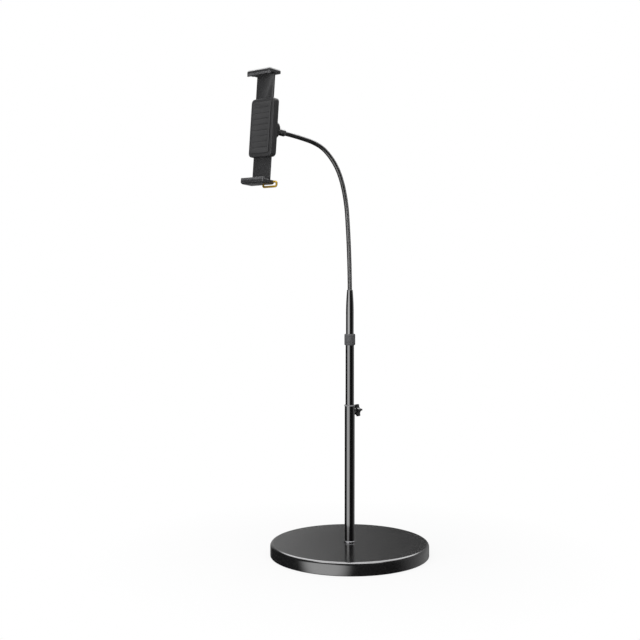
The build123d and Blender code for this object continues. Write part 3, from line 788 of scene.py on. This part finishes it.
def wound_hose_tree():
    """A tube of wound wire along a stretch of the path, with its rib kept as an attribute."""
    tree, given, result = group_tree(
        "Wound Hose",
        "GeometryNodeTree",
        [
            ("Geometry", "Geometry"),
            ("Path", "Object"),
            *((label, "Float") for label in ("Start", "End", "Radius", "Groove", "Pitch")),
            ("Rings", "Int"),
            ("Sides", "Int"),
            ("Material", "Material"),
        ],
        [("Geometry", "Geometry")],
    )
    span = number_node(tree, "SUBTRACT", given["End"], given["Start"])
    rows = number_node(tree, "ADD", given["Sides"], 1)
    inputs = {"Size X": span, "Size Y": 1.0, "Vertices X": given["Rings"], "Vertices Y": rows}
    grid = add_node(tree, "GeometryNodeMeshGrid", inputs)
    place = tree.nodes.new("GeometryNodeInputPosition")
    part = add_node(tree, "ShaderNodeSeparateXYZ", {0: place.outputs[0]})
    middle = number_node(tree, "MULTIPLY", number_node(tree, "ADD", given["Start"], given["End"]), 0.5)
    along = number_node(tree, "ADD", part.outputs["X"], middle)
    around = number_node(tree, "ADD", part.outputs["Y"], 0.5)
    turns = number_node(tree, "ADD", number_node(tree, "DIVIDE", along, given["Pitch"]), around)
    wave = number_node(tree, "SINE", number_node(tree, "MULTIPLY", turns, pi))
    crest = number_node(tree, "POWER", number_node(tree, "ABSOLUTE", wave), hose_crest_power)
    low = number_node(tree, "SUBTRACT", given["Radius"], given["Groove"])
    radius = number_node(tree, "MULTIPLY_ADD", crest, given["Groove"], low)
    path = add_node(tree, "GeometryNodeObjectInfo", {"Object": given["Path"]})
    inputs = {"Curves": path.outputs["Geometry"], "Length": along}
    sample = add_node(tree, "GeometryNodeSampleCurve", inputs, mode="LENGTH")
    side = vector_node(tree, "CROSS_PRODUCT", (1, 0, 0), sample.outputs["Tangent"])
    angle = number_node(tree, "MULTIPLY", around, 2 * pi)
    across = number_node(tree, "MULTIPLY", number_node(tree, "COSINE", angle), radius)
    across = add_node(tree, "ShaderNodeCombineXYZ", {"X": across})
    rise = number_node(tree, "MULTIPLY", number_node(tree, "SINE", angle), radius)
    inputs = {0: side.outputs["Vector"], "Scale": rise}
    lift = add_node(tree, "ShaderNodeVectorMath", inputs, operation="SCALE")
    total = sample.outputs["Position"]
    for offset in (across.outputs[0], lift.outputs["Vector"]):
        total = vector_node(tree, "ADD", total, offset).outputs["Vector"]
    inputs = {"Geometry": grid.outputs["Mesh"], "Name": "rib", "Value": crest}
    kept = add_node(tree, "GeometryNodeStoreNamedAttribute", inputs, data_type="FLOAT", domain="POINT")
    moved = add_node(tree, "GeometryNodeSetPosition", {"Geometry": kept.outputs[0], "Position": total})
    inputs = {"Geometry": moved.outputs[0], "Distance": hose_seam}
    closed = add_node(tree, "GeometryNodeMergeByDistance", inputs)
    return ended_tree(tree, closed.outputs[0], given, result)


def hose_finish():
    """Black coating, with painted shade in the grooves between the wires."""
    material = finish(
        "coated wound wire",
        tones=(grey(0.003), grey(0.005), 0.01),
        roughness=(0.14, 0.18),
        grain=(0.0004, 0.000002),
        sockets={"IOR": 2.0, "Coat Weight": 1.0, "Coat IOR": 1.7, "Coat Roughness": 0.12},
    )
    tree = material.node_tree
    base = tree.nodes["Principled BSDF"].inputs["Base Color"]
    groove_shade_mask = add_node(tree, "ShaderNodeAttribute", attribute_name="rib")
    coat = base.links[0].from_socket
    # Painted shade: the colour goes to near black where the wire dips into a groove.
    tree.links.new(mixed_colour(tree, groove_shade_mask.outputs["Fac"], grey(0.001), coat), base)
    return material


wound_hose = wound_hose_tree()
hose_wire = hose_finish()
neck_line, bend_lengths = hose_path()


def hose_cuts():
    """Where one stretch ends and the next begins: mid links, on a whole turn of the wire."""
    ends = bend_lengths[1:-1]
    cuts = [(first + second) / 2 for first, second in zip(ends, ends[1:])]
    cuts = [2 * ends[0] - cuts[0]] + cuts + [2 * ends[-1] - cuts[-1]]
    return [hose_pitch * round(cut / hose_pitch) for cut in cuts]


def hose_stretch(name, start, end):
    """One stretch of the hose as a plain mesh."""
    seed = shown(name, [(0, 0, 0)], [])
    grown(
        seed,
        wound_hose,
        path=neck_line,
        start=start,
        end=end,
        radius=hose_radius,
        groove=hose_groove,
        pitch=hose_pitch,
        rings=max(2, round((end - start) / hose_pitch * hose_steps)) + 1,
        sides=hose_sides,
        material=hose_wire,
    )
    seed.data.shade_smooth()
    return seed


stretches = [0.0] + hose_cuts() + [bend_lengths[-1]]
for i, (start, end) in enumerate(zip(stretches, stretches[1:])):
    stretch = hose_stretch(f"gooseneck_{i + 1}", start, end)
    if i in (0, len(bends) + 1):
        link = min(i + 1, len(bends) + 1)
        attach(stretch, f"neck_link_{link}")
        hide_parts(f"neck_hose_{link}")
    else:
        middle = bend_lengths[i]
        reach = min(end - middle, middle - start)
        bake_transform(stretch)
        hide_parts(f"neck_hose_{i}", f"neck_hose_{i + 1}")
bpy.data.objects.remove(neck_line)
for i in range(1, 9):
    dress_node(f"neck_core_{i}", zinc)


# Ferrule and ball stud
# A turned ferrule, painted black, joins the hose to a dark steel ball on a hexagon shank.
holder_up = Vector(joints["ball_pan"]["axis"]).normalized()
holder_back = -holder_front
holder_place = Matrix.Translation(ball) @ Matrix(((1, 0, 0), holder_back, holder_up)).transposed().to_4x4()
from_ball = holder_place @ laid_back
ferrule_near = 0.018
ferrule_length = 0.016
ferrule_radius = 0.0061
ferrule_bore = 0.0043
ferrule_round = 0.0011
ferrule_edge = 0.0004
ferrule_groove_starts = (0.0035, 0.0115)
ferrule_groove = ((0, 0), (0.0004, 0.0004), (0.0012, 0.0004), (0.0016, 0))  # along and down
ferrule_profile = [(ferrule_bore, ferrule_near), (ferrule_radius - ferrule_edge, ferrule_near)]
ferrule_profile.append((ferrule_radius, ferrule_near + ferrule_edge))
for start in ferrule_groove_starts:
    start += ferrule_near
    ferrule_profile += [(ferrule_radius - depth, start + along) for along, depth in ferrule_groove]
ferrule_end = ferrule_near + ferrule_length
ferrule_profile += arc(ferrule_radius - ferrule_round, ferrule_end - ferrule_round, ferrule_round, 0, 90, 6)
ferrule_profile += [(ferrule_bore, ferrule_end)]
ferrule = placed(turned("neck_end_ferrule", ferrule_profile, sides=64), from_ball)
dress(ferrule, tube_paint, "neck_link_8", "ferrule_metal", "neck_ferrule")
dark_steel = finish(
    "turned dark steel",
    tones=(grey(0.22), grey(0.34), 0.003),
    roughness=(0.2, 0.32),
    grain=(0.0003, 0.000005),
    sockets={"Metallic": 1.0},
)
dress_node("ball_stud", dark_steel)
dress_node("ball_cup", white_nylon)
dress_node("grip_ring", white_nylon)


# Lock nut
# Moulded black nut with flutes for the fingers; it squeezes the ball's lining from behind.
copy_edge = 0.0003
copy_merge = 0.000002
copy_flat = radians(1)
copy_sharp = radians(40)


def copied(node, name, bevel):
    """A merged copy of a node's mesh with its sharp edges rounded."""
    mesh = frame["nodes"][node].data.copy()
    mesh.name = name
    tidy = bmesh.new()
    tidy.from_mesh(mesh)
    bmesh.ops.remove_doubles(tidy, verts=tidy.verts, dist=copy_merge)
    bmesh.ops.dissolve_limit(tidy, angle_limit=copy_flat, verts=tidy.verts, edges=tidy.edges)
    tidy.to_mesh(mesh)
    tidy.free()
    piece = added(name, mesh)
    rounding = piece.modifiers.new("Edges", "BEVEL")
    rounding.width = bevel
    rounding.segments = 2
    rounding.limit_method = "ANGLE"
    rounding.angle_limit = copy_sharp
    mesh = evaluated_mesh(piece)
    piece.modifiers.clear()
    piece.data = mesh
    mesh.shade_smooth()
    mesh.set_sharp_from_angle(angle=copy_sharp)
    return piece


lock = copied("lock_nut", "fluted_lock_nut", copy_edge)
dress(lock, knob_plastic, "socket_nut", "knob_plastic", "lock_nut")


# Holder housing
# Two grained plastic shells screwed together over the rack and pinion that centre the jaws.
housing_plastic = finish(
    "grained holder plastic",
    tones=(grey(0.02), grey(0.03), 0.01),
    roughness=(0.42, 0.52),
    grain=(0.0005, 0.00003),
    more={"Worn": grey(0.1), "Wear": 0.35, "Wear Width": 0.0005, "Dust": 0.02},
)
housing = copied("rear_housing", "rear_shell", copy_edge)
dress(housing, housing_plastic, "holder", "housing_plastic", "rear_housing")
lid = copied("front_lid", "front_shell", copy_edge)
dress(lid, housing_plastic, "holder", "housing_plastic", "front_lid")
pad_edge = 0.0002
pad_rubber = finish(
    "soft grip rubber",
    tones=(grey(0.02), grey(0.032), 0.005),
    roughness=(0.62, 0.75),
    grain=(0.0004, 0.00002),
    more={"Dust": 0.05},
)
pad = copied("back_pad", "ribbed_back_pad", pad_edge)
dress(pad, pad_rubber, "holder", "pad_rubber", "back_pad")
for node in ("housing_screws", "pinion_pin", "friction_washer"):
    dress_node(node, zinc)
dress_node("pinion", white_nylon)


# Jaws
# Each is one moulding of dark plastic: a stem with its rack, a ledge and a lip over the edge
# of what it grips. The ledge and the lip are faced with ribbed rubber.
jaw_plastic = finish(
    "satin jaw plastic",
    tones=(grey(0.024), grey(0.034), 0.01),
    roughness=(0.24, 0.3),
    grain=(0.0005, 0.000004),
    more={"Worn": grey(0.2), "Wear": 0.5, "Wear Width": 0.0006},
    sockets={"IOR": 1.65},
)
jaw_width = 0.057
jaw_near = 0.009  # in front of the ball's centre, as the next two
jaw_far = 0.0366
lip_near = 0.0331
ledge_low = 0.091  # from the ball's height, as the next two
ledge_high = 0.098
lip_low = 0.0875
ledge_chamfer = 0.0026
jaw_corner = 0.003
ledge_foot_edge = 0.0004
lip_round = 0.0008
lip_root_round = 0.0001
lip_side_slack = 0.0001
lip_overlap = 0.0005
stem_top = ledge_low + 0.0008
stem_front = 0.022
grip_grooves = 5
grip_groove_depth = 0.00028
grip_groove_start = 0.0009
jaw_pad_edge = 0.00015
groove_steps = ((0.1, 0), (0.3, 1), (0.5, 1), (0.7, 0))  # shares of pitch and depth
chamfer_steps = ((1.12, 0), (0.94, 0.03), (0.88, 0.1), (0.1, 0.88), (0.03, 0.94), (0, 1.1))


def rounded_rectangle(width, near, far, corner, steps=6):
    """An anticlockwise outline with round corners, from near to far on the -Y side."""
    loop = []
    middle = -(near + far) / 2
    for side, end, start in ((1, 1, 0), (-1, 1, 90), (-1, -1, 180), (1, -1, 270)):
        x = side * (width / 2 - corner)
        y = middle + end * ((far - near) / 2 - corner)
        loop += arc(x, y, corner, start, start + 90, steps)
    return loop


def lip_outline():
    """The ledge's outline cut off behind the lip."""
    loop = []
    for x, y in rounded_rectangle(jaw_width, jaw_near, jaw_far, jaw_corner):
        point = (x, min(y, -lip_near))
        if point not in loop:
            loop.append(point)
    side = jaw_width / 2 - lip_side_slack
    return [point for point in loop if point[1] < -lip_near or abs(point[0]) > side]


def grooved(levels, low, high, count):
    """The levels with a row of fine grip grooves cut between two heights."""
    pitch = (high - low) / count
    grooves = []
    for i in range(count):
        start = low + pitch * i
        grooves += [(start + pitch * share, grip_groove_depth * depth) for share, depth in groove_steps]
    below = [level for level in levels if level[0] < low]
    return below + grooves + [level for level in levels if level[0] > high]


def cut_away(piece, point, normal):
    """Cuts a piece's mesh at a plane, drops the side the normal points to and closes the cut."""
    tidy = bmesh.new()
    tidy.from_mesh(piece.data)
    everything = tidy.verts[:] + tidy.edges[:] + tidy.faces[:]
    cut = bmesh.ops.bisect_plane(tidy, geom=everything, plane_co=point, plane_no=normal, clear_outer=True)
    rim = [item for item in cut["geom_cut"] if isinstance(item, bmesh.types.BMEdge)]
    bmesh.ops.holes_fill(tidy, edges=rim)
    bmesh.ops.recalc_face_normals(tidy, faces=tidy.faces)
    tidy.to_mesh(piece.data)
    tidy.free()


def jaw_pieces(node, name, body, turn):
    """The stem with its rack from the solid model, and the ledge and lip made here."""
    place = holder_place @ Matrix.Rotation(radians(turn), 4, "Y")
    stem = copied(node, name + "_stem", copy_edge)
    cut_away(stem, place @ Vector((0, 0, stem_top)), place.to_3x3() @ Vector((0, 0, 1)))
    cut_away(stem, place @ Vector((0, -stem_front, 0)), place.to_3x3() @ Vector((0, -1, 0)))
    outline = rounded_rectangle(jaw_width, jaw_near, jaw_far, jaw_corner)
    levels = [(ledge_low, ledge_foot_edge), (ledge_low + ledge_foot_edge, 0)]
    levels += [(ledge_high - ledge_chamfer * share, ledge_chamfer * inset) for share, inset in chamfer_steps]
    ledge = stacked(name + "_ledge", outline, levels, sharp=30)
    levels = rounded_levels(lip_low, ledge_low + lip_overlap, lip_round, lip_root_round)
    levels = grooved(levels, lip_low + grip_groove_start, ledge_low, grip_grooves)
    lip = stacked(name + "_lip", lip_outline(), levels, sharp=50)
    for piece in (placed(ledge, place), placed(lip, place), stem):
        dress(piece, jaw_plastic, body, "jaw_plastic", node)


jaw_pieces("upper_jaw", "upper_jaw_body", "top_jaw", 0)
jaw_pieces("lower_jaw", "lower_jaw_body", "bottom_jaw", 180)
for side, body in (("upper", "top_jaw"), ("lower", "bottom_jaw")):
    grip = copied(side + "_jaw_pad", side + "_grip_pad", jaw_pad_edge)
    dress(grip, pad_rubber, body, "pad_rubber", side + "_jaw_pad")


# Wire loop
# Bent brass wire, both ends moulded into the lower jaw; a cable is led through it.
brass = finish(
    "bent brass wire",
    tones=((0.36, 0.22, 0.02, 1), (0.5, 0.32, 0.035, 1), 0.004),
    roughness=(0.3, 0.4),
    grain=(0.0003, 0.00001),
    sockets={"Metallic": 0.4},
)
dress_node("wire_loop", brass)


# Studio
# A pale floor runs into white. Two soft lamps light what is matt; the gloss mirrors a dark sky with
# bright patches: a band in front, a dome overhead, a glow behind to the left and a brighter back.
camera_place = Vector((1.3687, -1.5392, 0.542))
camera_turn = radians(43.2)
camera_drop = radians(2.69)
camera_lens = 61.875
sky_level = 0.28  # the even sky that lights what is matt
sky_dark = 0.02
back_way, back_reach, back_level = (0.26, 0.96, 0.1), (0.5, 1.0), 0.3
dome_way, dome_reach, dome_level = (-0.281, 0.316, 0.906), (0.75, 0.86), 3.0
glow_way, glow_reach, glow_level = (-0.642, 0.723, 0.254), (0.75, 0.95), 0.27
left_way, left_reach = (-0.748, -0.664, 0), (-0.09, 0.14)  # where the glow fades out
band_way, band_reach, band_level = (0.098, -0.981, -0.16), (0.74, 0.96), 2.3
floor_half = 12.0
floor_tone = (0.82, 0.82, 0.82, 1)
floor_fade = {"From Min": 0.15, "From Max": 0.5, "To Min": 0.88, "To Max": 1.0}  # metres, white share


def aimed(name, data, place, way):
    """A camera or a lamp at a place, looking along a direction."""
    thing = added(name, data)
    thing.location = place
    thing.rotation_mode = "QUATERNION"
    thing.rotation_quaternion = way.to_track_quat("-Z", "Y")
    return thing


def soft_lamp(name, azimuth, distance, height, width, tall, radiance, aim):
    """A soft area lamp of a given radiance that looks at a height of the Z axis; azimuth is
    measured as the camera's is."""
    lamp_data = bpy.data.lights.new(name, "AREA")
    lamp_data.shape = "RECTANGLE"
    lamp_data.size = width
    lamp_data.size_y = tall
    lamp_data.energy = radiance * pi * width * tall
    turn = radians(azimuth)
    place = Vector((distance * sin(turn), -distance * cos(turn), height))
    lamp = aimed(name, lamp_data, place, Vector((0, 0, aim)) - place)
    lamp.visible_camera = False
    return lamp


camera_data = bpy.data.cameras.new("camera")
camera_data.lens = camera_lens
camera_data.sensor_width = 36
camera_data.clip_end = 60
ahead = cos(camera_drop)
camera_way = (-sin(camera_turn) * ahead, cos(camera_turn) * ahead, -sin(camera_drop))
bpy.context.scene.camera = aimed("camera", camera_data, camera_place, Vector(camera_way))
tall_lamp = soft_lamp(
    "tall_lamp", azimuth=5, distance=2.0, height=0.55, width=2.6, tall=3.0, radiance=1.9, aim=0.45
)
tall_lamp.visible_glossy = False
soft_lamp("top_lamp", azimuth=41, distance=0.5, height=2.1, width=2.6, tall=0.9, radiance=3.6, aim=0.1)


def sky_patch(tree, way, toward, reach, level):
    """Sky that swells from nought to a level between two closenesses to a direction."""
    near = vector_node(tree, "DOT_PRODUCT", way, toward).outputs["Value"]
    inputs = {"Value": near, "From Min": reach[0], "From Max": reach[1], "To Max": level}
    swell = add_node(tree, "ShaderNodeMapRange", inputs, interpolation_type="SMOOTHSTEP")
    return swell.outputs["Result"]


def world_light():
    """White where the camera looks past the object, the patched dark sky for what is glossy, and an
    even grey sky for the rest."""
    world = bpy.data.worlds.new("studio")
    world.use_nodes = True
    bpy.context.scene.world = world
    tree = world.node_tree
    path = tree.nodes.new("ShaderNodeLightPath")
    seen = number_node(tree, "ADD", path.outputs["Is Camera Ray"], path.outputs["Is Transmission Ray"])
    seen = number_node(tree, "MINIMUM", seen, 1.0)
    way = tree.nodes.new("ShaderNodeTexCoord").outputs["Generated"]
    back = sky_patch(tree, way, back_way, back_reach, back_level)
    dome = sky_patch(tree, way, dome_way, dome_reach, dome_level)
    glow = sky_patch(tree, way, glow_way, glow_reach, glow_level)
    left = sky_patch(tree, way, left_way, left_reach, 1.0)
    band = sky_patch(tree, way, band_way, band_reach, band_level)
    level = number_node(tree, "MULTIPLY", glow, left)
    for patch in (dome, back, band, sky_dark):
        level = number_node(tree, "ADD", level, patch)
    mirrored = add_node(tree, "ShaderNodeCombineColor", {0: level, 1: level, 2: level}).outputs[0]
    colour = mixed_colour(tree, path.outputs["Is Glossy Ray"], grey(sky_level), mirrored)
    colour = mixed_colour(tree, seen, colour, (1, 1, 1, 1))
    tree.links.new(colour, tree.nodes["Background"].inputs["Color"])


def floor_finish():
    """Pale floor with a soft shadow near the base, white further out and clear in reflections."""
    material = bpy.data.materials.new("studio floor")
    material.use_nodes = True
    tree = material.node_tree
    shader = tree.nodes["Principled BSDF"]
    shader.inputs["Base Color"].default_value = floor_tone
    shader.inputs["Roughness"].default_value = 0.9
    shader.inputs["Specular IOR Level"].default_value = 0.0
    white = tree.nodes.new("ShaderNodeEmission").outputs[0]
    clear = tree.nodes.new("ShaderNodeBsdfTransparent").outputs[0]
    place = tree.nodes.new("ShaderNodeTexCoord").outputs["Object"]
    distance = vector_node(tree, "LENGTH", place).outputs["Value"]
    fade = add_node(tree, "ShaderNodeMapRange", {"Value": distance} | floor_fade)
    path = tree.nodes.new("ShaderNodeLightPath")
    share = number_node(tree, "MULTIPLY", fade.outputs["Result"], path.outputs["Is Camera Ray"])
    mix = add_node(tree, "ShaderNodeMixShader", {0: share, 1: shader.outputs[0], 2: white})
    inputs = {0: path.outputs["Is Glossy Ray"], 1: mix.outputs[0], 2: clear}
    mix = add_node(tree, "ShaderNodeMixShader", inputs)
    tree.links.new(mix.outputs[0], tree.nodes["Material Output"].inputs["Surface"])
    return material


floor_corners = [(x * floor_half, y * floor_half, 0) for x, y in ((-1, -1), (1, -1), (1, 1), (-1, 1))]
floor = shown("studio_floor", floor_corners, [(0, 1, 2, 3)])
floor.data.materials.append(floor_finish())
world_light()
bpy.context.scene.view_settings.view_transform = "Standard"
